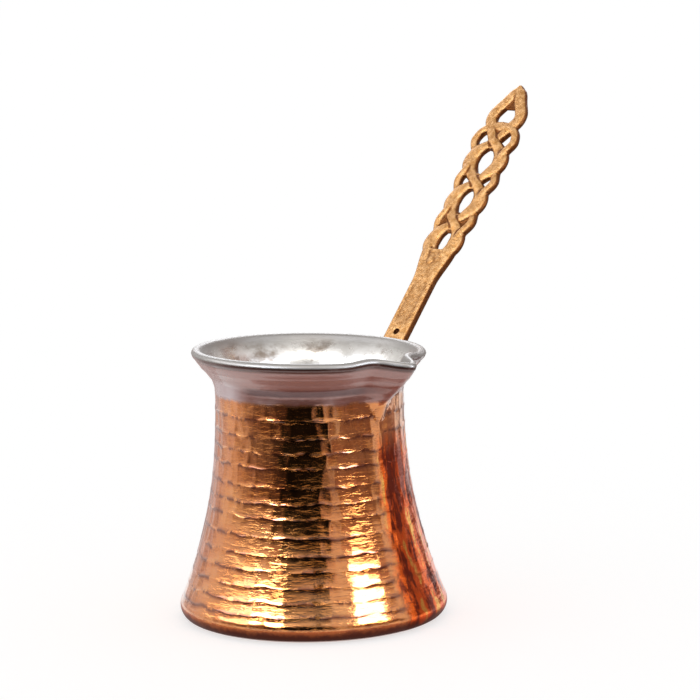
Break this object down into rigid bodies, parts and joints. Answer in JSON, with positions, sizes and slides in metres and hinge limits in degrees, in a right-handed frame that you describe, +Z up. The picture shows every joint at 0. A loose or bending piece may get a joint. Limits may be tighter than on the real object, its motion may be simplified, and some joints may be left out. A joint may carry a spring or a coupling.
{
  "type": "copper cezve",
  "caption": "Hammered copper coffee pot with a flared lip, a pressed spout, a tinned inside and a long riveted cast brass handle with an openwork plait and a leaf tip.",
  "frame": {"origin": "middle of the flat base, on the plane the pot stands on", "axes": "+Z up along the axis of the pot, +X towards the handle, -Y towards the spout"},
  "size_m": [0.1565, 0.0918, 0.1692],
  "materials": {
    "copper": null,
    "tin": null,
    "cast_brass": "sand-cast brass, matt and slightly granular"
  },
  "bodies": {
    "root": {"pot_body": "copper", "tin_lining": "tin", "handle": "cast_brass", "rivet_upper_left": "cast_brass", "rivet_upper_right": "cast_brass", "rivet_lower": "cast_brass"}
  },
  "joints": []
}
